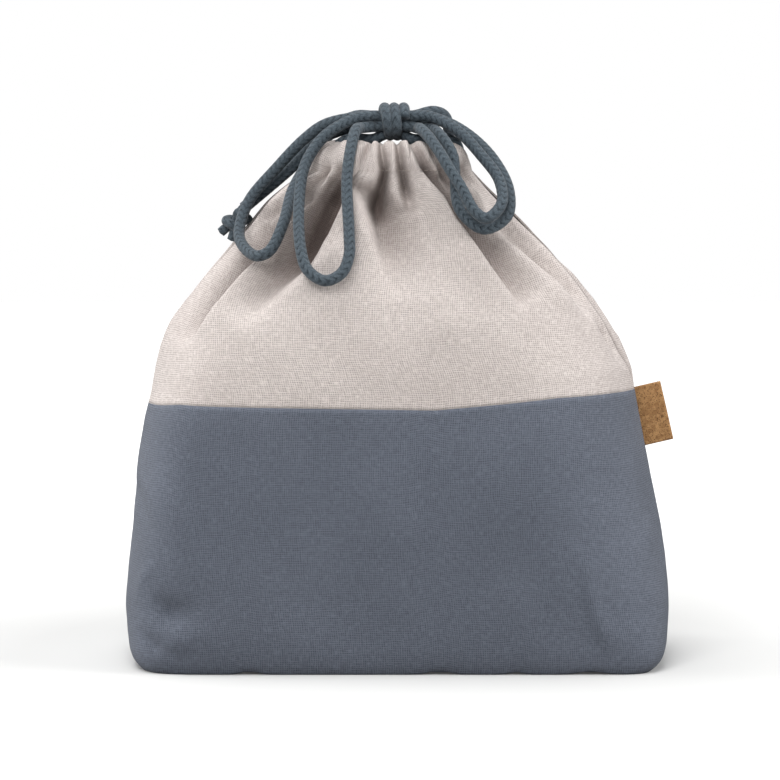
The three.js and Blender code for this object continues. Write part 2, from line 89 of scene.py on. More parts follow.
def newMaterial(name, values):  # a material with its constant values set on the shader itself
    material = bpy.data.materials.new(name)
    material.use_nodes = True
    shader = material.node_tree.nodes["Principled BSDF"]
    for key, value in values.items():
        shader.inputs[key].default_value = value
    return material, material.node_tree, shader


# plain-woven cotton canvas: the real thread pitch is about 0.6 mm, drawn at 0.9 mm so that the weave shows
canvasWeave = {
    "pitch": 0.9 * mm, "bendLength": 6.0 * mm, "bend": 0.8 * mm, "slubLength": 3.0 * mm,
    "slubWidth": 0.6 * mm, "slubRange": (0.75, 1.25), "poreRange": (1.7, 0.3), "poreDark": 1.2,
    "threadLight": 0.45, "patch": 45.0 * mm, "wear": 0.35, "midTone": 0.29, "bumpDepth": 0.22 * mm,
    # the last two: the tint and share of the painted shade that darkens deep folds and seams
    "bumpStrength": 0.55, "paintedShadeTint": "#4a2f22", "paintedShadeShare": 0.8,
}


def canvasMaterial(name, darkThread, lightThread, contrast):  # slubby matt threads, faintly fuzzy, with painted shade in deep folds and along the seams
    weave = canvasWeave
    material, tree, shader = newMaterial(name, {
        "Roughness": 0.92, "IOR": 1.5, "Specular IOR Level": 0.25,
        "Sheen Weight": 0.08, "Sheen Roughness": 0.55,
    })
    flat = addNode(tree, "UVMap", settings={"uv_map": "flatCloth"})
    sway = addNode(tree, "TexNoise", {"Vector": flat}, {"Scale": 1 / weave["bendLength"], "Detail": 1.0})
    bent = addNode(tree, "VectorMath MULTIPLY_ADD", {0: sway.outputs["Color"], 2: flat},
                   {1: (weave["bend"], weave["bend"], 0.0)})  # no thread runs dead straight
    sides = addNode(tree, "SeparateXYZ", {0: bent})
    gaps = []
    for axis in (0, 1):  # narrow gaps between warp threads and between weft threads
        turn = addNode(tree, "Math MULTIPLY", {0: sides.outputs[axis]}, {1: math.pi / weave["pitch"]})
        wave = addNode(tree, "Math SINE", {0: turn})
        threadTop = addNode(tree, "Math ABSOLUTE", {0: wave})
        gaps.append(addNode(tree, "Math SUBTRACT", {1: threadTop}, {0: 1.0}))
    crossings = addNode(tree, "Math MULTIPLY", {0: gaps[0], 1: gaps[1]})
    thin, long = 1 / weave["slubWidth"], 1 / weave["slubLength"]
    tones = []
    for scale in ((thin, long, 1.0), (long, thin, 1.0)):  # each thread is thick and thin along itself
        spread = addNode(tree, "Mapping", {0: flat}, {"Scale": scale})
        tones.append(addNode(tree, "TexNoise", {"Vector": spread},
                             {"Scale": 1.0, "Detail": 2.0, "Roughness": 0.6}))
    thread = addNode(tree, "Math ADD", {0: tones[0], 1: tones[1]})
    uneven = addNode(tree, "MapRange", {0: thread},
                     dict(zip((1, 2, 3, 4), weave["slubRange"] + weave["poreRange"])))
    pores = addNode(tree, "Math MULTIPLY", {0: crossings, 1: uneven})
    patch = addNode(tree, "TexNoise", {"Vector": flat}, {"Scale": 1 / weave["patch"], "Detail": 2.0})
    paleTone = addNode(tree, "Math MULTIPLY_ADD", {0: patch}, {1: weave["wear"], 2: -weave["wear"] / 2})
    raised = addNode(tree, "Math MULTIPLY_ADD", {0: pores, 2: paleTone}, {1: -weave["poreDark"]})
    mixed = addNode(tree, "Math MULTIPLY_ADD", {0: thread, 2: raised}, {1: weave["threadLight"]})
    tone = addNode(tree, "MapRange", {0: mixed},
                   {1: weave["midTone"] - contrast, 2: weave["midTone"] + contrast})
    colour = addNode(tree, "Mix", {0: tone}, {6: hexColour(darkThread), 7: hexColour(lightThread)},
                     {"data_type": "RGBA"})
    # painted shade: a per-point share, set from fold depth and seam nearness, darkens the canvas colour
    paintedShade = addNode(tree, "Attribute", settings={"attribute_name": "paintedShade"})
    depth = addNode(tree, "Math MULTIPLY", {0: paintedShade.outputs["Fac"]}, {1: weave["paintedShadeShare"]})
    shaded = addNode(tree, "Mix", {0: depth, 6: colour.outputs[2]}, {7: hexColour(weave["paintedShadeTint"])},
                     {"data_type": "RGBA", "blend_type": "MULTIPLY"})  # painted shade: deep folds and the side seams darken toward a warm tint
    deep = addNode(tree, "Math SUBTRACT", {0: thread, 1: pores})
    bump = addNode(tree, "Bump", {"Height": deep},
                   {"Strength": weave["bumpStrength"], "Distance": weave["bumpDepth"]})
    plug(tree, shader, {"Base Color": shaded.outputs[2], "Normal": bump})
    return material


creamCanvas = canvasMaterial("undyed cotton canvas, plain woven", "#a89d99", "#e2d9d4", contrast=0.3)
greyBlueCanvas = canvasMaterial(
    "grey-blue dyed cotton canvas, plain woven", "#484d57", "#757b88", contrast=0.36)

# braided cotton cord: dyed strands, with painted shade where they dive under each other and paler at their
# crowns
braidLook = {
    "crevice": "#20262b", "strand": "#465058", "strandAt": 0.6, "paleTone": "#616c74",
    "reliefRange": (0.55, 1.45), "yarn": 0.45 * mm, "yarnShare": 0.9, "bumpDepth": 0.3 * mm,
    "bumpStrength": 0.9,
}
braidedCotton, tree, shader = newMaterial("dyed cotton cord, round braided", {
    "Roughness": 0.88, "IOR": 1.5, "Specular IOR Level": 0.25, "Sheen Weight": 0.15, "Sheen Roughness": 0.5,
})
relief = addNode(tree, "Attribute", settings={"attribute_name": "relief"})
place = addNode(tree, "TexCoord")
yarn = addNode(tree, "TexNoise", {"Vector": place.outputs["Object"]},
               {"Scale": 1 / braidLook["yarn"], "Detail": 2.0})
lift = addNode(tree, "Math MULTIPLY_ADD", {0: yarn, 2: relief.outputs["Fac"]}, {1: braidLook["yarnShare"]})
share = addNode(tree, "MapRange", {0: lift}, dict(zip((1, 2), braidLook["reliefRange"])))
# painted shade: the lowest stop darkens the strands where they dive under each other; the highest stop is
# paler, on their crowns
ramp = addNode(tree, "ValToRGB", {0: share})
stops = ramp.color_ramp.elements
stops[0].color = hexColour(braidLook["crevice"])
stops[1].color = hexColour(braidLook["paleTone"])
stops.new(braidLook["strandAt"]).color = hexColour(braidLook["strand"])
bump = addNode(tree, "Bump", {"Height": yarn},
               {"Strength": braidLook["bumpStrength"], "Distance": braidLook["bumpDepth"]})
plug(tree, shader, {"Base Color": ramp, "Normal": bump})

# pressed cork sheet: tan granules with dark flecks and small open pores
corkGrain = {
    "light": "#c09463", "mid": "#9d734a", "dark": "#4a311f", "granule": 1.3 * mm, "granuleRange": (0.1, 0.9),
    "fleck": 0.5 * mm, "fleckRange": (0.53, 0.66), "bumpDepth": 0.15 * mm, "bumpStrength": 0.6,
}
pressedCork, tree, shader = newMaterial("pressed cork sheet, sliced", {
    "Roughness": 0.78, "IOR": 1.45, "Specular IOR Level": 0.3,
})
place = addNode(tree, "TexCoord").outputs["Object"]
granules = addNode(tree, "TexVoronoi", {"Vector": place}, {"Scale": 1 / corkGrain["granule"]})
cells = addNode(tree, "MapRange", {0: granules.outputs["Color"]},
                dict(zip((1, 2), corkGrain["granuleRange"])))
tan = addNode(tree, "Mix", {0: cells}, {6: hexColour(corkGrain["mid"]), 7: hexColour(corkGrain["light"])},
              {"data_type": "RGBA"})
flecks = addNode(tree, "TexNoise", {"Vector": place},
                 {"Scale": 1 / corkGrain["fleck"], "Detail": 3.0, "Roughness": 0.65})
pores = addNode(tree, "MapRange", {0: flecks}, dict(zip((1, 2), corkGrain["fleckRange"])))
cork = addNode(tree, "Mix", {0: pores, 6: tan.outputs[2]}, {7: hexColour(corkGrain["dark"])},
               {"data_type": "RGBA"})
bump = addNode(tree, "Bump", {"Height": pores},
               {"Strength": corkGrain["bumpStrength"], "Distance": corkGrain["bumpDepth"]}, {"invert": True})
plug(tree, shader, {"Base Color": cork.outputs[2], "Normal": bump})
print("materials made")

# round braid: eight columns of flat strands that slant by turns, one every 2.8 mm of length
braidForm = {
    "diameter": 4.6, "sides": 36, "step": 0.55, "spanSteps": 24, "columns": 8, "pitch": 2.8, "slant": 0.7,
    "crevice": 0.36, "relief": 0.3, "crown": 0.8, "middle": 0.65, "dive": 0.9, "diveEnds": (0.65, 0.7),
    "roundOff": 0.12, "capRise": 0.5, "capTone": 0.3, "steep": 0.9, "fewestSteps": 8, "pathStep": 4,
}


def runLengths(points):  # distance along a line of points
    return np.concatenate([[0.0], np.cumsum(norm(np.diff(points, axis=0), axis=1))])


def evenRoute(points):  # a smooth curve through the points, resampled evenly
    given = np.array(points, float)
    held = np.vstack([2 * given[0] - given[1], given, 2 * given[-1] - given[-2]])
    knots = np.concatenate([[0.0], np.cumsum(norm(np.diff(held, axis=0), axis=1) ** 0.5)])
    dense = []
    for i in range(1, len(held) - 2):
        t = np.linspace(knots[i], knots[i + 1], braidForm["spanSteps"], endpoint=False)[:, None]
        k = knots[i - 1:i + 3]
        p = held[i - 1:i + 3]
        a = [((k[j + 1] - t) * p[j] + (t - k[j]) * p[j + 1]) / (k[j + 1] - k[j]) for j in range(3)]
        b = [((k[j + 2] - t) * a[j] + (t - k[j]) * a[j + 1]) / (k[j + 2] - k[j]) for j in range(2)]
        dense.append(((k[2] - t) * b[0] + (t - k[1]) * b[1]) / (k[2] - k[1]))
    dense = np.vstack(dense + [given[-1:]])
    run = runLengths(dense)
    steps = max(braidForm["fewestSteps"], int(round(run[-1] / braidForm["step"])))
    even = np.linspace(0.0, run[-1], steps + 1)
    return np.stack([np.interp(even, run, dense[:, axis]) for axis in range(3)], 1)


def tubeWall(rings, sides, shift):  # the faces between the rings of a tube
    faces = []
    for ring in range(rings - 1):
        for side in range(sides):
            a, b = shift + ring * sides + side, shift + ring * sides + (side + 1) % sides
            faces.append((a, b, b + sides, a + sides))
    return faces


def braidTube(route, shrink=1.0):  # one length of cord: its points, faces and relief
    form = braidForm
    radius = form["diameter"] / 2 * shrink
    sides = form["sides"]
    ahead = np.gradient(route, axis=0)
    ahead /= norm(ahead, axis=1)[:, None]
    start = np.array([0.0, 0.0, 1.0]) if abs(ahead[0][2]) < form["steep"] else np.array([0.0, 1.0, 0.0])
    across = np.cross(ahead[0], start)
    angle = np.linspace(0.0, 2 * math.pi, sides, endpoint=False)
    column = angle / (2 * math.pi) * form["columns"]
    lean = np.where(np.floor(column) % 2 == 0, 1.0, -1.0)
    inColumn = column - np.floor(column) - 0.5
    ends = form["diveEnds"][0] + form["diveEnds"][1] * lean * inColumn  # each strand dives more at one end
    rings, heights = [], []
    for centre, along, far in zip(route, ahead, runLengths(route)):
        across = across - along * across.dot(along)
        across /= norm(across)
        third = np.cross(along, across)
        phase = far / form["pitch"] + lean * inColumn * form["slant"]
        apart = np.abs((phase + 0.5) % 1 - 0.5) * form["pitch"]
        dive = np.exp(-(apart / form["crevice"]) ** 2) * ends
        height = form["crown"] * (1 - form["dive"] * dive - form["roundOff"] * (2 * inColumn) ** 4)
        reach = radius + form["relief"] * (height - form["middle"])
        ring = np.outer(reach * np.cos(angle), across) + np.outer(reach * np.sin(angle), third)
        rings.append(centre + ring)
        heights.append(height)
    points = np.vstack(rings)
    faces = tubeWall(len(route), sides, 0)
    caps = [route[0] - ahead[0] * form["capRise"], route[-1] + ahead[-1] * form["capRise"]]
    last = (len(route) - 1) * sides
    for side in range(sides):
        following = (side + 1) % sides
        faces.append((following, side, len(points)))
        faces.append((last + side, last + following, len(points) + 1))
    return np.vstack([points, caps]), faces, np.concatenate(heights + [np.full(2, form["capTone"])])


def meshPiece(name, points, faces, material):  # a smooth-shaded mesh object from millimetre points
    mesh = bpy.data.meshes.new(name)
    mesh.from_pydata((np.asarray(points) * mm).tolist(), [], faces)
    mesh.polygons.foreach_set("use_smooth", np.ones(len(mesh.polygons), bool))
    mesh.materials.append(material)
    piece = bpy.data.objects.new(name, mesh)
    scene.collection.objects.link(piece)
    return piece


def cordPiece(name, tubes):  # braided tubes joined into one piece
    points, faces, heights = [], [], []
    for tubePoints, tubeFaces, tubeHeights in tubes:
        shift = sum(len(p) for p in points)
        points.append(tubePoints)
        faces += [tuple(i + shift for i in face) for face in tubeFaces]
        heights.append(tubeHeights)
    piece = meshPiece(name, np.vstack(points), faces, braidedCotton)
    values = piece.data.attributes.new("relief", "FLOAT", "POINT")
    values.data.foreach_set("value", np.concatenate(heights).astype(np.float32))
    return piece


# the bow: routes of the loops and ends in millimetres, as the solids have them
bow = {
    "roots": (-9.8, 6.2), "rows": (225.5, 221.1), "columns": (-5.2, 5.2), "leftBend": (-10.5, -17.5),
    "rightBend": (6.9, 13.5), "bendHeight": 223.2,
}
(leftRoot, rightRoot), (upperRow, lowerRow) = bow["roots"], bow["rows"]
frontColumn, rearColumn = bow["columns"]
bowRoutes = {
    "left_front_loop": [(leftRoot, frontColumn, lowerRow), (-15, -8, 220.5), (-17, -15, 219.5),
        (-19, -22.5, 212), (-20.5, -29, 199), (-19.5, -38.5, 177.5), (-19.5, -42, 169), (-22.5, -44.5, 162),
        (-29, -45.5, 159), (-36, -43, 163), (-39, -39, 171), (-40, -26.5, 191), (-37.5, -16.5, 206),
        (-29.5, -10, 217.5), (-17, -5.5, 224.5), (leftRoot, frontColumn, upperRow)],
    "left_rear_loop": [(leftRoot, 0, upperRow), (-17, 0, 225), (-30, 0, 222), (-38.5, 0, 216),
        (-50.5, -1.5, 203.5), (-61, -5.5, 191), (-65, -13, 179.5), (-64, -20.5, 173.5), (-57, -31.5, 168.5),
        (-52, -33, 170.5), (-46.5, -28, 181.5), (-43, -15, 195), (-35.5, -4, 208), (-26.5, -0.5, 219),
        (-20, 0, 221), (leftRoot, 0, lowerRow)],
    "left_end_front": [(leftRoot, rearColumn, lowerRow), (-17.5, 5.2, 221), (-31.5, 6, 216), (-44, 4, 204),
        (-64, 1.4, 187)],
    "left_end_rear": [(leftRoot, rearColumn, upperRow), (-17.5, 7, 225.5), (-31.5, 11.5, 218),
        (-44, 9.5, 205.5), (-64.2, 5.2, 187.4)],
    "right_front_loop": [(rightRoot, frontColumn, lowerRow), (8.2, -6, 220.5), (9.6, -12.5, 220),
        (13, -20.5, 216.5), (17.5, -27, 210), (21, -31, 204), (25.5, -34.5, 197), (31.5, -38.5, 186.5),
        (36, -39.5, 184), (42, -36, 189.5), (41.5, -28.5, 199), (34.5, -21, 209), (24.5, -13, 219.5),
        (13.5, -7, 225.2), (rightRoot, frontColumn, upperRow)],
    "right_rear_loop": [(rightRoot, 0, lowerRow), (8.7, 0, 221.3), (13.7, -6, 220.4), (18, -16.5, 217),
        (22.5, -22.5, 209.5), (23.5, -25, 200.5), (25.5, -31.5, 187), (35, -34.5, 179.5),
        (44.5, -30, 184.5), (45.5, -23.5, 195), (39.5, -15, 207.5), (29, -6.5, 218), (17.5, -1.5, 224),
        (rightRoot, 0, upperRow)],
    "right_end_upper": [(rightRoot, rearColumn, upperRow), (8.5, 5.5, 226), (15, 7, 227.5), (20, 11, 225.5),
        (22, 18, 216), (22.5, 24, 204.5)],
    "right_end_lower": [(rightRoot, rearColumn, lowerRow), (8.5, 6, 222), (14, 12, 222.5),
        (16, 17.5, 219.5), (18.3, 26, 209.3), (19.3, 29.2, 205)],
}

# end knots: an overhand turn over the two ends, with both cut tails below it
endKnots = {
    "left_end_knot": {"place": (-67.0, 3.0, 182.0), "tiltY": 34.0, "tiltX": 0.0, "body": "left_loops"},
    "right_end_knot": {"place": (22.5, 27.7, 198.9), "tiltY": 0.0, "tiltX": 14.0, "body": "right_loops"},
}
endKnotForm = {
    "turns": 1.35, "turnStart": -2.2, "turnPoints": 40, "halfWidth": 3.625, "halfDepth": 3.335,
    "turnRise": 3.6, "sway": 1.3, "shrink": 0.86,
    "strand": [(0.6, 2.5, 6.0), (0.5, 1.5, 2.5), (-0.8, 1.1, -2.5), (-2.0, 0.8, -5.0), (-2.8, 0.7, -7.8)],
}


def endKnotRoutes():  # the wound turn, then the two strands that it grips
    form = endKnotForm
    part = np.linspace(0.0, 1.0, form["turnPoints"])
    angle = 2 * math.pi * form["turns"] * part + form["turnStart"]
    turn = np.stack([
        form["halfWidth"] * np.cos(angle),
        form["halfDepth"] * np.sin(angle),
        form["turnRise"] * (1.0 - 2 * part) + form["sway"] * np.cos(angle),
    ], 1)
    return [turn] + [np.array(form["strand"]) * (way, way, 1) for way in (-1, 1)]


for node, knot in endKnots.items():
    cosY, sinY = math.cos(math.radians(knot["tiltY"])), math.sin(math.radians(knot["tiltY"]))
    cosX, sinX = math.cos(math.radians(knot["tiltX"])), math.sin(math.radians(knot["tiltX"]))
    turnY = np.array([[cosY, 0, sinY], [0, 1, 0], [-sinY, 0, cosY]])
    turnX = np.array([[1, 0, 0], [0, cosX, -sinX], [0, sinX, cosX]])
    tubes = []
    for points in endKnotRoutes():
        placed = points @ (turnX @ turnY).T + np.array(knot["place"])
        tubes.append(braidTube(evenRoute(placed), endKnotForm["shrink"]))
    piece = cordPiece(node + "_braid", tubes)
    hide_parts(node)
    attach(piece, knot["body"])

for node, points in bowRoutes.items():
    route = evenRoute(points)
    length = float(runLengths(route)[-1])
    piece = cordPiece(node + "_braid", [braidTube(route)])
    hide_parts(node)
    side = node.split("_")[0]
    bend = bow[side + "Bend"]
    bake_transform(piece)
    print(node, "length", round(length), "mm")

# the knot: six strands pinched through a tight winding
knotForm = {
    "x": -1.8, "height": 223.2, "turns": 2.75, "halfSpan": 5.4, "halfDepth": 8.5, "halfHeight": 5.6,
    "taper": 0.25, "windingPoints": 160, "windingStep": 4, "pinchDepth": 0.62, "pinchHeight": 0.5,
    "overhang": 0.9, "neck": 1.2, "neckDepth": 0.93, "shrink": 0.97,
}
form = knotForm
strands = []
for column in (frontColumn, 0.0, rearColumn):
    for row in (upperRow, lowerRow):
        pinchedRow = form["height"] + (row - form["height"]) * form["pinchHeight"]
        points = [
            (leftRoot - form["overhang"], column, row),
            (leftRoot + form["neck"], column * form["neckDepth"], row),
            (form["x"], column * form["pinchDepth"], pinchedRow),
            (rightRoot - form["neck"], column * form["neckDepth"], row),
            (rightRoot + form["overhang"], column, row),
        ]
        strands.append(braidTube(evenRoute(points), form["shrink"]))
knotBundle = cordPiece("knot_bundle_braid", strands)
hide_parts("knot_core")
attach(knotBundle, "bag")
part = np.linspace(0.0, 1.0, form["windingPoints"])[::form["windingStep"]]
angle = 2 * math.pi * form["turns"] * part - math.pi / 2
narrow = 1.0 - form["taper"] * (0.5 - 0.5 * np.sin(angle))  # the turns draw together under the knot
winding = np.stack([
    form["x"] + form["halfSpan"] * (2 * part - 1) * narrow,
    form["halfDepth"] * np.cos(angle),
    form["height"] + form["halfHeight"] * np.sin(angle),
], 1)
knotWinding = cordPiece("knot_winding_braid", [braidTube(evenRoute(winding))])
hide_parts("knot_wrap")
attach(knotWinding, "bag")

# drawstrings: round the mouth inside the tunnels, then out through one slit to the knot
drawstringForm = {
    "cords": {"left_drawstring": (-1, 1.6), "right_drawstring": (1, 1.0)},  # side, and the leads' step in
    "ringX": 27.0, "ringY": 17.0, "ringHeight": 208.3, "ringPoints": 15, "lean": math.radians(50.0),
    "spacing": 5.0, "slit": 13.0, "tuck": 7.0, "leadHeight": 215.9, "leadSpacing": 5.2, "slitSpread": 0.62,
    "slitRise": 1.8, "bendIn": (1.6, 5.4), "bendDrop": 2.0, "knotReach": (8.0, 4.0), "knotRise": 2.0,
}
form = drawstringForm
slitAngle = math.asin(form["slit"] / (2 * form["ringY"]))
for node, (side, stepIn) in form["cords"].items():
    offset = -side * form["spacing"] / 2
    ring = []
    for share in np.linspace(-1.0, 1.0, form["ringPoints"]):
        angle = (0.0 if side < 0 else math.pi) + (math.pi - slitAngle) * share
        outward = np.array([math.cos(angle) / form["ringX"], math.sin(angle) / form["ringY"], 0.0])
        outward /= norm(outward)
        inward = offset * math.cos(form["lean"]) + form["tuck"] * (1 - share ** 4)  # tucked under the pleats
        height = form["ringHeight"] + offset * math.sin(form["lean"])
        onRing = np.array([form["ringX"] * math.cos(angle), form["ringY"] * math.sin(angle), height])
        ring.append(onRing - outward * inward)
    turnX, lead = form["ringX"] - stepIn, form["leadHeight"]
    leads = []
    for end in (ring[0], ring[-1]):
        spread = math.copysign(form["leadSpacing"], end[1])
        leads.append([
            (side * turnX, spread * form["slitSpread"], end[2] + form["slitRise"]),
            (side * (turnX - form["bendIn"][0]), spread / 2, lead - form["bendDrop"]),
            (side * (turnX - form["bendIn"][1]), spread / 2, lead),
            (knotForm["x"] + side * form["knotReach"][0], spread / 2, lead),
            (knotForm["x"] + side * form["knotReach"][1], spread / 3, lead + form["knotRise"]),
        ])
    route = evenRoute(leads[0][::-1] + ring + leads[1])
    length = float(runLengths(route)[-1])
    piece = cordPiece(node + "_braid", [braidTube(route)])
    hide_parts(node)
    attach(piece, "bag")
    print(node, "length", round(length), "mm")
print("cords braided")

# the bag's body: level by level its left, right, front and back reach and how square its corners are
bagForm = {
    # height, left, right, front, back, squareness at front left, front right and back, bluntness at the seams
    "levels": [
        (0, -105.5, 105, -52, 51, 14, 24, 14, 5),
        (1.5, -107.8, 107.6, -53.2, 52.6, 14, 22, 14, 4.6),
        (4, -109.6, 109.8, -53.6, 53.6, 14, 20, 13, 4.2),
        (8, -111.2, 111.4, -54.2, 54.2, 13, 17, 12, 3.7),
        (16, -112.6, 112.6, -54.7, 54.7, 12, 13, 11, 3),
        (25, -113.3, 113, -55, 55, 11, 9.5, 10, 2.5),
        (40, -112.4, 112.1, -55.2, 55.2, 11, 7, 9, 2),
        (56, -110.6, 110.4, -55.2, 55, 10.5, 5.5, 8.5, 1.7),
        (71, -110, 107.9, -54.8, 54.6, 10.5, 5.3, 8.5, 1.6),
        (86, -108.2, 105, -54, 53.8, 10, 5.2, 8, 1.55),
        (101, -105.6, 101.9, -52.8, 52.6, 9, 5.2, 7, 1.5),
        (111, -102.6, 99.9, -51.6, 51.4, 8, 5.2, 6.5, 1.5),
        (121, -100.8, 97.8, -50.2, 50, 7, 5, 6, 1.45),
        (131, -98.4, 93.4, -48.2, 48, 6, 4.6, 5.2, 1.45),
        (141, -94.4, 89.2, -45.8, 45.6, 5.2, 4.2, 4.6, 1.5),
        (151, -87.4, 83.3, -42.8, 42.6, 4.4, 3.8, 4, 1.55),
        (161, -79.4, 76.2, -39, 39, 3.6, 3.4, 3.4, 1.6),
        (171, -71, 67.6, -35, 35, 3, 2.9, 3, 1.7),
        (181, -62.4, 56.8, -30.6, 30.6, 2.6, 2.5, 2.6, 1.8),
        (191, -54.4, 45, -26.4, 26.4, 2.3, 2.3, 2.3, 1.9),
        (198, -46.4, 37.5, -24.6, 24.6, 2.1, 2.1, 2.1, 2),
        (203, -39, 33.5, -23.4, 23.4, 2, 2, 2, 2),
        (208, -31.5, 31, -22.2, 22.2, 2, 2, 2, 2),
    ],
    "levelStep": 0.5, "soften": 1.6, "top": 203.0, "angleSteps": 520, "anglePast": 0.5, "halvings": 40,
    "columns": 240, "lowerRows": 62, "footCrowding": 1.25, "upperRows": 84, "thickness": 0.8,
}
topRow = bagForm["lowerRows"] + bagForm["upperRows"]  # the grid's row at the top of the panels
# where each half's cloth ends at the sides: sewn together low down, apart at the slits
seamForm = {
    "heights": [0, 112, 128, 150, 166, 178, 190, 203, 206],
    "frontRight": [0, 0, -9, -12, -12, -11, -9, -7, -6.5],
    "backRight": [0, 0, -9, -12, -12, -9, -3, 5.5, 6.5],
    "frontLeft": [0, 0, 0, 0, -0.4, -1.5, -3, -6, -6.5],
    "backLeft": [0, 0, 0, 0, -0.8, -1, 0.5, 5.5, 6.5],
    # shade and shadeWidth: strength and width of the painted shade along the seams
    "pinch": 1.5, "pinchWidth": 2.2, "shade": 0.6, "shadeWidth": 1.3, "calm": 6.0,
    "halfGirth": 300.0, "narrowAt": (110, 200), "narrowBy": (1.0, 0.35),
}
# the line where the grey-blue cloth meets the cream, by place across the front
colourLine = {
    "level": 109, "across": [-105, -88, -40, 15, 42, 66, 90, 100],
    "height": [106.6, 109, 108.2, 107.4, 109.8, 112.2, 112.9, 112.7],
}
# folds and creases of the cloth: lines of (across, height, lift or dip, width to the left and to the right)
gatherFolds = {
    "valleyRight": [(6, 215, -6, 1.1, 1.3), (9.5, 209, -10, 1.5, 1.6), (11.5, 204, -13, 1.7, 2),
        (15.5, 199, -13, 2, 3), (20, 193, -11, 2, 5), (25, 185, -12, 3, 7), (38, 170, -10, 4, 11),
        (50, 155, -5, 4, 12), (55, 148, 0, 5, 12)],
    "ridgeRight": [(4, 214, 1, 2, 2), (6, 207, 2, 2.5, 2), (10, 200, 2.5, 4, 2.5), (16, 191, 3, 6, 2),
        (28, 173, 3, 8, 3), (47, 149, 0, 8, 3)],
    "tubeRight": [(10.5, 213, 1, 1.5, 1.5), (13, 208, 2, 1.8, 1.5), (17, 203, 2, 2, 2),
        (23, 198, 0, 2.5, 2.5)],
    "valleyMid": [(-7.5, 216, -6, 1.2, 1.2), (-6.5, 210, -10, 1.6, 1.5), (-5.5, 202, -14, 2, 1.8),
        (-6.5, 195, -12, 4, 3), (-8, 189, -10, 5, 9), (-5, 179, -8, 5, 12), (-1, 166, -4, 6, 13),
        (0, 150, 0, 10, 13)],
    "valleyCross": [(-19, 198, -3, 2, 2), (-13, 193, -9, 3, 4), (-9, 189, -6, 4, 4), (-7, 182, 0, 4, 6)],
    "valleySlim": [(0, 215, -6, 1.2, 1.2), (1.2, 210, -10, 1.5, 1.4), (2, 204, -13, 1.7, 1.5),
        (3.5, 197, -12, 2.2, 1.6), (5, 191, -5, 3, 2.5), (7, 185, 0, 3, 3)],
    "valleyLeft": [(-23, 211, -5, 2, 2), (-24, 200, -12, 3, 2), (-28, 191, -24, 7, 5),
        (-33, 180, -24, 8, 5), (-42, 171, -12, 7, 8), (-52, 163, -8, 7, 9), (-69, 143, 0, 6, 9)],
    "facetMid": [(-20, 200, 0, 3, 3), (-17, 188, 3, 4, 4), (-14, 176, 2, 5, 5), (-14, 165, 0, 6, 6)],
    "ridgeLeft": [(-18, 175, 0, 2, 8), (-28, 167, 3, 2, 8), (-46, 153, 0, 4, 8)],
    "ridgeShoulder": [(-43, 185, 0, 2, 4), (-60, 164, 2, 2, 5), (-73, 147, 2, 3, 5), (-83, 135, 0, 3, 5)],
    "valleyShoulder": [(-39, 193, -4, 3, 2), (-57, 175, -11, 6, 3), (-66, 163, -13, 6, 2.5),
        (-74, 152, -12, 6, 2.5), (-82, 142, -6, 5, 2.5), (-90, 132, 0, 5, 3)],
    "hemLeft": [(-60, 182, 0, 1, 1), (-52, 187, -3, 1, 1), (-41, 196, 0, 1, 1)],
    "pleatLeft": [(-26, 213, -5, 2, 2), (-32, 201, -6, 2, 2), (-41, 190, 0, 3, 3)],
    "pleatInner": [(14, 215, -5, 1, 1), (16.5, 207, -9, 1.3, 1.3), (21, 201, -9, 1.6, 2),
        (28, 194, 0, 2, 3)],
    "pleatOuter": [(19, 215, -4, 1, 1), (22, 208, -5, 1.2, 1.2), (28, 201, -4, 1.5, 2), (33, 196, 0, 2, 3)],
    "pleatFarRight": [(24, 214, -3, 1, 1), (28, 207, -4, 1.5, 1.5), (33, 201, 0, 2, 2)],
    "pleatSlim": [(-12, 214, -5, 1, 1), (-16, 202, 0, 2, 2)],
    "pleatFarLeft": [(-18, 214, -5, 1, 1), (-20, 197, 0, 2, 2)],
    "ridgeFar": [(39, 182, 0, 4, 2), (51, 170, 3, 4, 2), (66, 155, 3, 4, 2), (78, 142, 0, 4, 2)],
    "valleyFar": [(46, 182, -3, 3, 3), (60, 168, -5, 3, 3), (72, 155, -4, 3, 4), (82, 143, 0, 4, 5)],
    "ridgeLow": [(28, 150, 0, 6, 6), (21, 141, 1.5, 6, 6), (12, 129, 0, 6, 6)],
    "grooveRight": [(79, 151, 0, 1.5, 1.5), (86, 137, -3, 1.5, 1.5), (94, 122, 0, 1.5, 1.5)],
    "foldRightEdge": [(102, 63, 0, 3, 3), (103, 54, 1, 3, 3), (107, 49, 0, 3, 3)],
    "creaseRight": [(77, 48, 0, 3, 4), (78, 32, 1.4, 3, 4), (82, 18, 1.4, 2, 5), (88, 8, 0, 3, 4)],
    "dentLeft": [(-101, 31, 0, 5, 5), (-92, 26, -4, 5, 4), (-80, 24, 0, 5, 4)],
    "patchLeft": [(-99, 8, 0, 4, 5), (-88, 13, 2, 3, 6), (-74, 21, 0, 4, 6)],
    "creaseLeft": [(-107, 17, 0, 2, 3), (-98, 11, -2, 2, 4), (-86, 7, 0, 2, 3)],
    "edgeLeftHigh": [(-108, 71, -1.5, 3, 3), (-99, 54, 0, 3, 3)],
    "edgeLeftLow": [(-107, 27, 0, 2, 2), (-103, 38, 1.3, 1.5, 3), (-97, 46, 0, 2, 3)],
}
# edges that hang over their hollow, on its left and on its right, in millimetres
foldOverhang = {
    "valleyRight": (3.0, 0.0), "valleyMid": (2.5, 0.0), "valleyLeft": (0.0, 3.0),
    "valleyShoulder": (0.0, 1.5),
}
# depth at which a fold's painted shade begins, and at which it is darkest, in millimetres
hollowShade = {"from": 1.5, "to": 13.0}
# places where the front's bottom edge lifts off the table: across, lift, half-width in millimetres
footLifts = [(-60, 1.3, 5), (17, 1.5, 6), (48, 0.9, 4), (78, 1.3, 7)]
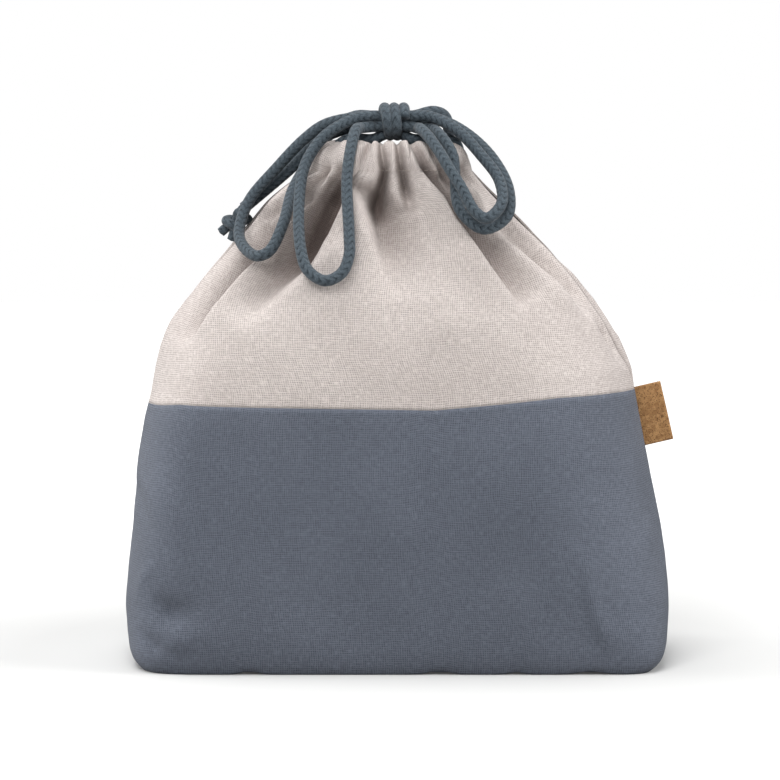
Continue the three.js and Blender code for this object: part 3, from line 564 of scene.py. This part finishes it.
# how the cloth takes its folds; each kind of unevenness has a size and a depth in millimetres
clothForm = {
    "roundWall": 2.0, "steepWall": 3.0, "pushReach": 3.0, "backFolds": 0.9, "highest": 2.6, "deepest": 24.0,
    "uneven": [(55.0, 1.3), (19.0, 0.45), (7.0, 0.12)], "footCalm": 12.0, "footLeast": 0.1, "footFade": 3.0,
    "levelOff": 25.0, "smoothRounds": 2, "smoothShare": 0.5,
}
# casing: how far out from the panel's top each line of the turned cloth lies, and its height
casingForm = {
    "turn": [(-0.2, 204.4), (-0.5, 206), (-0.9, 207.8), (-1.4, 209.6), (-2.1, 211.4), (-3.3, 213.2),
             (-5, 214.6), (-7.2, 215.3), (-9.6, 215.2), (-11.9, 214.4), (-14, 212.6), (-15.6, 210.2),
             (-16.6, 207.4), (-17, 204.6)],
    "crestRow": 7, "sideDraw": 0.65, "lipWave": 0.35, "pleats": 16, "pleatDepth": 1.6, "pleatFade": 13.0,
    "coarsePleats": 9, "coarseDepth": 2.0, "coarseFade": 16.0, "coarseStart": 0.5, "crest": 1.6,
    "crestRound": 0.8, "wander": [(0.012, 3), (0.006, 8)], "frontStart": 0.7, "backStart": 2.1, "quiet": 0.65,
    "quietHalf": 16.0, "mouthAcross": (13.0, 23.0), "mouthDepth": (7.0, 1.2), "slackFrom": 206.0,
    "slackOver": 14.0,
}


def levelTable():  # the level list as smooth curves over evenly spaced heights
    levels = np.array(bagForm["levels"], float)
    step, soften = bagForm["levelStep"], bagForm["soften"]
    heights = np.arange(0.0, bagForm["top"] + step / 2, step)
    reach = int(4 * soften / step)
    kernel = np.exp(-0.5 * (np.arange(-reach, reach + 1) * step / soften) ** 2)
    kernel /= kernel.sum()
    columns = []
    for column in range(1, levels.shape[1]):
        values = np.interp(heights, levels[:, 0], levels[:, column])
        before, after = 2 * values[0] - values[reach:0:-1], 2 * values[-1] - values[-2:-reach - 2:-1]
        columns.append(np.convolve(np.concatenate([before, values, after]), kernel, mode="valid"))
    return heights, np.stack(columns, 1)


def halfOutlines(isFront):  # the plan of one half at every level, spread evenly from seam to seam
    heights, table = levelTable()
    steps, past, columns = bagForm["angleSteps"], bagForm["anglePast"], bagForm["columns"]
    begin = math.pi - past if isFront else -past
    angle = np.linspace(begin, begin + math.pi + 2 * past, steps)[None, :]
    left, right, front, back, squareLeft, squareRight, squareBack, blunt = table.T[:, :, None]
    isLeft, isFore = np.cos(angle) < 0, np.sin(angle) < 0
    halfWidth = np.where(isLeft, -left, right)
    halfDepth = np.where(isFore, -front, back)
    square = np.where(isFore, np.where(isLeft, squareLeft, squareRight), squareBack)
    across, along = np.abs(np.cos(angle)) / halfWidth, np.abs(np.sin(angle)) / halfDepth
    low, high = np.zeros_like(across), halfWidth + halfDepth
    for _ in range(bagForm["halvings"]):  # halving finds the outline in each direction
        middle = (low + high) / 2
        outside = (middle * across) ** square + (middle * along) ** blunt > 1
        low, high = np.where(outside, low, middle), np.where(outside, middle, high)
    x, y = low * np.cos(angle), low * np.sin(angle)
    names = ("frontLeft", "frontRight") if isFront else ("backRight", "backLeft")
    edges = [np.interp(heights, seamForm["heights"], seamForm[name]) for name in names]
    outlines = np.zeros((len(heights), columns + 1, 2))
    way = -1.0 if isFront else 1.0
    first, last = slice(0, steps // 4), slice(3 * steps // 4, steps)
    for row in range(len(heights)):
        run = runLengths(np.stack([x[row], y[row]], 1))
        start = np.interp(way * edges[0][row], way * y[row][first], run[first])
        stop = np.interp(-way * edges[1][row], -way * y[row][last], run[last])
        even = np.linspace(start, stop, columns + 1)
        outlines[row] = np.stack([np.interp(even, run, x[row]), np.interp(even, run, y[row])], 1)
    return heights, outlines


def foldLift(x, z, strength):  # how far the folds lift and push aside the front's cloth
    total, pushX, pushZ = np.zeros((3,) + x.shape)
    for name, line in gatherFolds.items():
        line = np.array(line, float)
        over = foldOverhang.get(name, (0.0, 0.0))
        nearest = np.full_like(x, np.inf)
        value, asideX, asideZ = np.zeros((3,) + x.shape)
        deepest = np.abs(line[:, 2]).max()
        for a, b in zip(line[:-1], line[1:]):
            step = b[:2] - a[:2]
            t = np.clip(((x - a[0]) * step[0] + (z - a[1]) * step[1]) / step.dot(step), 0.0, 1.0)
            dx, dz = x - a[0] - t * step[0], z - a[1] - t * step[1]
            distance = np.sqrt(dx * dx + dz * dz) + 1e-6
            isRight = dx * -step[1] + dz * step[0] > 0
            width = np.where(isRight, a[4] + t * (b[4] - a[4]), a[3] + t * (b[3] - a[3]))
            hang = np.where(isRight, over[1], over[0])
            depth = a[2] + t * (b[2] - a[2])
            wall = np.where(hang > 0, clothForm["steepWall"], clothForm["roundWall"])
            profile = np.exp(-(distance / width) ** wall)
            fade = np.exp(-(distance / (clothForm["pushReach"] * width)) ** 2)
            push = -hang * np.abs(depth) / deepest * (1 - profile) * fade / distance
            closer = distance < nearest
            nearest, value = np.where(closer, distance, nearest), np.where(closer, depth * profile, value)
            asideX, asideZ = np.where(closer, push * dx, asideX), np.where(closer, push * dz, asideZ)
        total += value * strength
        pushX += asideX * strength
        pushZ += asideZ * strength
    return total, pushX, pushZ


def pleatWave(count, place, start):  # round crests with sharp hollows between them
    wave = np.abs(np.cos(math.pi * count * place + start)) ** casingForm["crestRound"]
    return (casingForm["crest"] * wave - 1.0)[None, :]


def gridNormals(grid):  # outward direction at every point of a grid
    normal = np.cross(np.gradient(grid, axis=1), np.gradient(grid, axis=0))
    return normal / np.maximum(norm(normal, axis=2), 1e-9)[..., None]


def smoothGrid(grid):  # relax the cloth a little, its edges held
    for _ in range(clothForm["smoothRounds"]):
        moved = grid.copy()
        around = (grid[:-2, 1:-1] + grid[2:, 1:-1] + grid[1:-1, :-2] + grid[1:-1, 2:]) / 4
        moved[1:-1, 1:-1] += clothForm["smoothShare"] * (around - grid[1:-1, 1:-1])
        grid = moved
    return grid


def halfGrid(isFront):  # one half of the bag from the floor to the turned casing, with its folds
    cloth, casing, seam, top = clothForm, casingForm, seamForm, bagForm["top"]
    heights, outlines = halfOutlines(isFront)
    columns = bagForm["columns"]
    column = np.arange(columns + 1)
    lineRow = np.searchsorted(heights, colourLine["level"])
    line = np.interp(outlines[lineRow, :, 0], colourLine["across"], colourLine["height"])
    low = np.linspace(0.0, 1.0, bagForm["lowerRows"] + 1)[:, None] ** bagForm["footCrowding"]
    high = np.linspace(0.0, 1.0, bagForm["upperRows"] + 1)[1:, None]
    level = np.concatenate([line * low, line + (top - line) * high])
    place = level / bagForm["levelStep"]
    below = np.clip(place.astype(int), 0, len(heights) - 2)
    rest = (place - below)[..., None]
    flatPlan = outlines[below, column] * (1 - rest) + outlines[below + 1, column] * rest
    grid = np.concatenate([flatPlan, level[..., None]], 2)
    rim = grid[-1]
    outward = np.stack([np.gradient(rim[:, 1]), -np.gradient(rim[:, 0])], 1)
    outward /= norm(outward, axis=1)[:, None]
    fromMiddle = np.abs(rim[:, 0]) / np.abs(rim[:, 0]).max()
    drawn = 1 + casing["sideDraw"] * fromMiddle ** 2  # drawn in more at the sides
    turned = []
    for out, height in casing["turn"]:
        ring = rim[:, :2] + outward * (out * drawn)[:, None]
        turned.append(np.column_stack([ring, np.full(columns + 1, height)]))
    grid = np.concatenate([grid, np.array(turned)], 0)
    way = 1.0 if isFront else -1.0
    x, z = grid[..., 0] * way, grid[..., 2].copy()
    inner = topRow + 1 + casing["crestRow"]  # rows past the casing's crest follow its outside
    x[inner:], z[inner:] = x[inner - 1], z[inner - 1]
    lift, pushX, pushZ = foldLift(x, z, 1.0 if isFront else cloth["backFolds"])
    share = column / columns
    (broad, broadTurns), (slight, slightTurns) = casing["wander"]
    start = casing["frontStart"] if isFront else casing["backStart"]
    wander = share + broad * np.sin(2 * math.pi * broadTurns * share + start)  # no two pleats are alike
    wander = wander + slight * np.sin(2 * math.pi * slightTurns * share)
    above = np.maximum(top - z, 0.0)
    quiet = 1 - casing["quiet"] * np.exp(-(x / casing["quietHalf"]) ** 4)  # the middle has folds of its own
    fine = casing["pleatDepth"] * np.exp(-above / casing["pleatFade"]) * quiet
    coarse = casing["coarseDepth"] * np.exp(-above / casing["coarseFade"]) * quiet
    lift += fine * pleatWave(casing["pleats"], wander, 0.0)
    lift += coarse * pleatWave(casing["coarsePleats"], wander, casing["coarseStart"])
    wide = [[sum(noise.noise(Vector(p) / size) * depth for size, depth in cloth["uneven"]) for p in row]
            for row in grid]
    lift += np.array(wide) * np.clip(z / cloth["footCalm"], cloth["footLeast"], 1.0)
    atMouth = np.interp(np.abs(x), casing["mouthAcross"], casing["mouthDepth"])
    slack = np.clip((casing["slackFrom"] - z) / casing["slackOver"], 0.0, 1.0)  # lower folds run deeper
    limit = atMouth + (cloth["deepest"] - atMouth) * slack
    pushX, pushZ = pushX * slack, pushZ * slack
    raised = cloth["highest"] * np.tanh(lift / cloth["highest"])
    lift = np.where(lift < 0, -limit * np.tanh(-lift / limit), raised)
    narrowing = np.interp(z, seam["narrowAt"], seam["narrowBy"])
    fromSeam = np.minimum(share, 1 - share)[None, :]
    edge = fromSeam * seam["halfGirth"] * narrowing  # about the distance in millimetres
    lift *= np.clip(edge / seam["calm"], 0.0, 1.0)
    lift -= seam["pinch"] * np.exp(-(edge / seam["pinchWidth"]) ** 2)
    normal = gridNormals(grid)
    normal[..., 2] *= np.clip((top - z) / cloth["levelOff"], 0.0, 1.0)  # folds near the mouth go straight in
    normal /= norm(normal, axis=2)[..., None]
    for row in range(len(turned)):  # the casing's pleats also rise and fall a little at the lip
        rise = casing["lipWave"] * min(row / casing["crestRow"], 1.0)
        normal[row - len(turned)] = np.column_stack([outward, np.full(columns + 1, rise)])
    grid = grid + normal * lift[..., None]
    grid[..., 0] += pushX * way
    grid[..., 2] += pushZ
    if isFront:
        for middle, rise, half in footLifts:
            grid[..., 2] += rise * np.exp(-((grid[..., 0] - middle) / half) ** 2 - z / cloth["footFade"])
    lower = grid[:bagForm["lowerRows"] + 1, :, 2]
    lower[:] = np.maximum(lower, 0.0)
    # painted shade: darker with fold depth, and in a thin line along the side seams
    shade = np.clip((-lift - hollowShade["from"]) / (hollowShade["to"] - hollowShade["from"]), 0.0, 1.0)
    paintedSeamShade = seam["shade"] * np.exp(-(edge / seam["shadeWidth"]) ** 2)
    return smoothGrid(grid), np.maximum(shade, paintedSeamShade)


def clothSheet(name, grid, thickness, material, shade=None):  # a closed sheet, with its flat size as its map
    rows, columns = grid.shape[:2]
    inside = grid - gridNormals(grid) * thickness
    across, along = np.zeros((rows, columns)), np.zeros((rows, columns))
    across[:, 1:] = np.cumsum(norm(np.diff(grid, axis=1), axis=2), axis=1)
    across -= across[:, columns // 2][:, None]
    along[1:] = np.cumsum(norm(np.diff(grid, axis=0), axis=2), axis=0)
    index = np.arange(rows * columns).reshape(rows, columns)
    a, b = index[:-1, :-1].ravel(), index[:-1, 1:].ravel()
    c, d = index[1:, 1:].ravel(), index[1:, :-1].ravel()
    count = rows * columns
    faces = np.concatenate([np.stack([a, b, c, d], 1), np.stack([d, c, b, a], 1) + count])
    rim = np.concatenate([index[0], index[1:, -1], index[-1, -2::-1], index[-2:0:-1, 0]])
    following = np.roll(rim, -1)
    faces = np.concatenate([faces, np.stack([following, rim, rim + count, following + count], 1)])
    points = np.concatenate([grid.reshape(-1, 3), inside.reshape(-1, 3)])
    piece = meshPiece(name, points, faces.tolist(), material)
    smooth = np.ones(len(faces), bool)
    smooth[-len(rim):] = False
    piece.data.polygons.foreach_set("use_smooth", smooth)
    flat = np.stack([across, along], 2).reshape(-1, 2) * mm
    layer = piece.data.uv_layers.new(name="flatCloth")
    layer.data.foreach_set("uv", np.concatenate([flat, flat])[faces.ravel()].astype(np.float32).ravel())
    # painted shade: its per-point share, kept for the canvas material
    if shade is not None:
        values = piece.data.attributes.new("paintedShade", "FLOAT", "POINT")
        values.data.foreach_set("value", np.concatenate([shade.ravel(), shade.ravel()]).astype(np.float32))
    return piece


# each half cut into its grey-blue lower cloth and its cream upper cloth
halves = {"front": halfGrid(True), "back": halfGrid(False)}
split = bagForm["lowerRows"]
for half, (grid, shade) in halves.items():
    lower = clothSheet(half + "_lower_cloth", grid[:split + 1], bagForm["thickness"], greyBlueCanvas)
    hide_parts(half + "_lower_panel")
    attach(lower, "bag")
    upper = clothSheet(half + "_upper_cloth", grid[split:], bagForm["thickness"], creamCanvas, shade[split:])
    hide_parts(half + "_upper_panel", half + "_casing")
    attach(upper, "bag")
    print(half, "half sewn")

# base: the floor of the bag, just above what it stands on
baseForm = {"rows": 40, "columnStep": 4, "shrink": 0.988, "height": 1.0, "rise": 0.5}
foot = halves["front"][0][0], halves["back"][0][0][::-1]
share = np.linspace(0.0, 1.0, baseForm["rows"] + 1)[:, None, None]
baseGrid = foot[0][None] * (1 - share) + foot[1][None] * share
baseGrid[..., :2] *= baseForm["shrink"]
baseGrid[..., 2] = baseForm["height"] + baseForm["rise"] * np.sin(math.pi * share[..., 0])
baseGrid = baseGrid[::-1, ::baseForm["columnStep"]]
base = clothSheet("base_cloth", baseGrid, bagForm["thickness"], greyBlueCanvas)
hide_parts("base_panel")
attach(base, "bag")
print("cloth made")

# casing stitches: one row round the mouth, under the tunnel
stitchForm = {
    "length": 2.4, "pitch": 3.2, "radius": 0.17, "lift": 0.05, "margins": (2.0, 4.0), "corners": 6,
    "swell": (0.35, 0.9, 1.0, 0.9, 0.35), "darkPly": "#b3a8a1", "lightPly": "#ddd5ce", "ply": 0.5 * mm,
}
form = stitchForm
stitchLines = []
for grid, shade in halves.values():
    seamRow = grid[topRow] + gridNormals(grid)[topRow] * form["lift"]
    run = runLengths(seamRow)
    first, last = form["margins"]
    for begin in np.arange(first, run[-1] - last, form["pitch"]):
        along = np.linspace(begin, begin + form["length"], len(form["swell"]))
        stitchLines.append(np.stack([np.interp(along, run, seamRow[:, axis]) for axis in range(3)], 1))
stitchPoints, stitchFaces = [], []
corners = form["corners"]
for line in stitchLines:
    ahead = (line[-1] - line[0]) / norm(line[-1] - line[0])
    across = np.cross(ahead, [0.0, 0.0, 1.0])
    across /= norm(across)
    third = np.cross(ahead, across)
    shift = len(stitchPoints)
    for centre, swell in zip(line, form["swell"]):
        for corner in range(corners):
            turn = corner * 2 * math.pi / corners
            side = across * math.cos(turn) + third * math.sin(turn)
            stitchPoints.append(centre + swell * form["radius"] * side)
    stitchFaces += tubeWall(len(line), corners, shift)
    stitchFaces.append(tuple(range(shift + corners - 1, shift - 1, -1)))
    stitchFaces.append(tuple(range(len(stitchPoints) - corners, len(stitchPoints))))
threadCotton, tree, shader = newMaterial("spun cotton thread, sewn", {
    "Roughness": 0.85, "IOR": 1.5, "Specular IOR Level": 0.3,
})
place = addNode(tree, "TexCoord")
ply = addNode(tree, "TexNoise", {"Vector": place.outputs["Object"]}, {"Scale": 1 / form["ply"]})
tone = addNode(tree, "Mix", {0: ply},
               {6: hexColour(form["darkPly"]), 7: hexColour(form["lightPly"])},
               {"data_type": "RGBA"})
plug(tree, shader, {"Base Color": tone.outputs[2]})
stitches = meshPiece("casing_stitches", stitchPoints, stitchFaces, threadCotton)
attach(stitches, "bag")

# label: a strip of cork folded back on itself and sewn into the side seam
labelForm = {
    "foot": (103.4, 0.0, 88.2), "lean": (-0.2284, 0.0, 0.9736), "reach": 13.4, "length": 24.8, "leaf": 0.7,
    "slot": 0.4, "curl": 0.5, "rows": 40, "flatPoints": 22, "foldPoints": 11,
}
form = labelForm
leafMiddle = form["slot"] / 2 + form["leaf"] / 2
flatRun = form["reach"] - 2 * (form["leaf"] + form["slot"] / 2)
turns = np.linspace(0.0, math.pi, form["foldPoints"])[1:-1]
strip = [(flatRun * s, -leafMiddle) for s in np.linspace(0.0, 1.0, form["flatPoints"])]
strip += [(flatRun + leafMiddle * math.sin(t), -leafMiddle * math.cos(t)) for t in turns]
strip += [(flatRun * s, leafMiddle) for s in np.linspace(1.0, 0.0, form["flatPoints"])]
upward = np.array(form["lean"])
sideways = np.array([upward[2], 0.0, -upward[0]])
labelGrid = []
for share in np.linspace(0.0, 1.0, form["rows"] + 1):
    bend = form["curl"] * math.sin(math.pi * share)
    labelGrid.append([np.array(form["foot"]) + upward * form["length"] * share + sideways * a
                      + np.array([0.0, c - bend * (a / flatRun) ** 2, 0.0]) for a, c in strip])
labelGrid = np.array(labelGrid)
labelGrid = labelGrid + gridNormals(labelGrid) * form["leaf"] / 2
label = clothSheet("cork_label_strip", labelGrid, form["leaf"], pressedCork)
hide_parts("cork_label")
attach(label, "label")
print("label folded")

# studio: a softly glowing white table and a white surround, lit from above, the front and both sides
studio = {
    "floorSize": 6.0, "floorPale": "#d6d6d5", "floorWhite": "#dcdcdb", "mottle": 1 / 3, "glow": (0.05, 0.6),
    "glowReach": (0.16, 0.5), "bounce": "#9a9a99", "surround": "#ffffff", "surroundLight": 0.12,
    "lights": {
        "ceiling": {"kind": "SUN", "place": (-0.15, 0.1, 0.93), "aim": (0.0, 0.0, 0.0),
            "size": math.radians(50.0), "power": 2.1},
        "frontKey": {"kind": "AREA", "place": (-0.3, -1.1, 0.95), "aim": (0.0, 0.0, 0.11),
            "size": 0.9, "power": 11.8},
        "leftRim": {"kind": "AREA", "place": (-1.25, 0.1, 0.4), "aim": (0.0, 0.0, 0.06),
            "size": 0.6, "power": 7.5},
        "rightRim": {"kind": "AREA", "place": (1.15, -0.35, 0.65), "aim": (0.0, 0.0, 0.1),
            "size": 0.6, "power": 10.0},
    },
}
floorMaterial, tree, shader = newMaterial("white acrylic table, matt", {
    "Roughness": 0.9, "Specular IOR Level": 0.1, "Emission Color": (1, 1, 1, 1),
})
place = addNode(tree, "TexCoord").outputs["Object"]
mottle = addNode(tree, "TexNoise", {"Vector": place}, {"Scale": 1 / studio["mottle"]})
tone = addNode(tree, "Mix", {0: mottle},
               {6: hexColour(studio["floorPale"]), 7: hexColour(studio["floorWhite"])}, {"data_type": "RGBA"})
away = addNode(tree, "VectorMath LENGTH", {0: place})
# the table is white to the horizon, and dim enough for a shadow near the bag
glow = addNode(tree, "MapRange", {0: away.outputs["Value"]},
               dict(zip((1, 2, 3, 4), studio["glowReach"] + studio["glow"])))
plug(tree, shader, {"Base Color": tone.outputs[2], "Emission Strength": glow})
dull = addNode(tree, "BsdfDiffuse", values={0: hexColour(studio["bounce"])})  # gentle light from below
rays = addNode(tree, "LightPath")
board = addNode(tree, "MixShader", {0: rays.outputs["Is Camera Ray"], 1: dull, 2: shader})
plug(tree, tree.nodes["Material Output"], {0: board})
half = studio["floorSize"] / 2 / mm
floorCorners = [(-half, -half, 0), (half, -half, 0), (half, half, 0), (-half, half, 0)]
floor = meshPiece("studio_floor", floorCorners, [(0, 1, 2, 3)], floorMaterial)
for name, light in studio["lights"].items():
    lamp = bpy.data.lights.new(name, light["kind"])
    lamp.energy = light["power"]
    if light["kind"] == "SUN":
        lamp.angle = light["size"]  # a wide disc, so its shadows are soft
    else:
        lamp.size = light["size"]
    lampObject = bpy.data.objects.new(name, lamp)
    lampObject.location = light["place"]
    toward = Vector(light["aim"]) - Vector(light["place"])
    lampObject.rotation_euler = toward.to_track_quat("-Z", "Y").to_euler()
    scene.collection.objects.link(lampObject)
world = bpy.data.worlds.new("studio")
world.use_nodes = True
tree = world.node_tree
fill = tree.nodes["Background"]
fill.inputs[0].default_value = hexColour(studio["surround"])
fill.inputs[1].default_value = studio["surroundLight"]
paper = addNode(tree, "Background", values={0: hexColour(studio["surround"]), 1: 1.0})  # what the camera sees
rays = addNode(tree, "LightPath")
surround = addNode(tree, "MixShader", {0: rays.outputs["Is Camera Ray"], 1: fill, 2: paper})
plug(tree, tree.nodes["World Output"], {0: surround})
scene.world = world
scene.view_settings.view_transform = "Standard"
print("studio lit")
